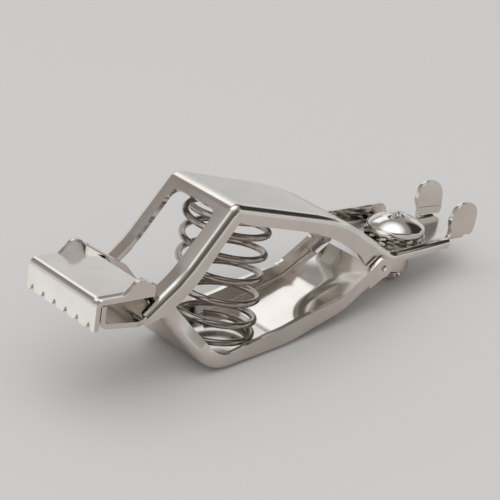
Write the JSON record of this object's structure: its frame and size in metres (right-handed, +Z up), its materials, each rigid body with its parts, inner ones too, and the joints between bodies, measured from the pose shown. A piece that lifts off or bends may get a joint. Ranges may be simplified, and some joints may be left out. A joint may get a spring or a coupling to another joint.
{
  "type": "cross-action spring clip",
  "caption": "Sheet-metal cross-action spring clip with toothed jaws, a coil spring, a screw terminal and two upturned cable ears.",
  "frame": {"origin": "centre of the clip's footprint on the surface it stands on", "axes": "+X from the jaws to the terminal end, +Y across the clip, +Z up; the clip stands on its lower arm and the end of its screw"},
  "size_m": [0.0598, 0.013, 0.02],
  "materials": {
    "nickel_plate": "bright nickel plating",
    "spring_steel": "bright drawn wire",
    "screw_plate": "bright nickel plating",
    "washer_steel": "zinc plating"
  },
  "bodies": {
    "upper_arm": {"upper_arm": "nickel_plate", "spring": "spring_steel"},
    "lower_arm": {"lower_arm": "nickel_plate"},
    "lock_washer": {"lock_washer": "washer_steel"},
    "terminal_screw": {"terminal_screw": "screw_plate"}
  },
  "joints": [
    {"name": "arm_hinge", "type": "hinge", "parent": "upper_arm", "child": "lower_arm", "pos_m": [0.01181, 0, 0.00537], "axis": [0, 1, 0], "range_deg": [0, 14], "stiffness_Nm_per_rad": 0.33, "springref_deg": -28.07, "deforming": ["spring"]},
    {"name": "washer_lift", "type": "slide", "parent": "upper_arm", "child": "lock_washer", "axis": [0.1576, 0, 0.9875], "range_m": [0, 0.0018]},
    {"name": "screw_turn", "type": "hinge", "parent": "lock_washer", "child": "terminal_screw", "pos_m": [0.01871, 0, 0.00614], "axis": [0.1576, 0, 0.9875], "range_deg": [0, 1080]}
  ],
  "couplings": [
    {"joint": "screw_turn", "follows": "washer_lift", "rad_per_m": 10472}
  ]
}
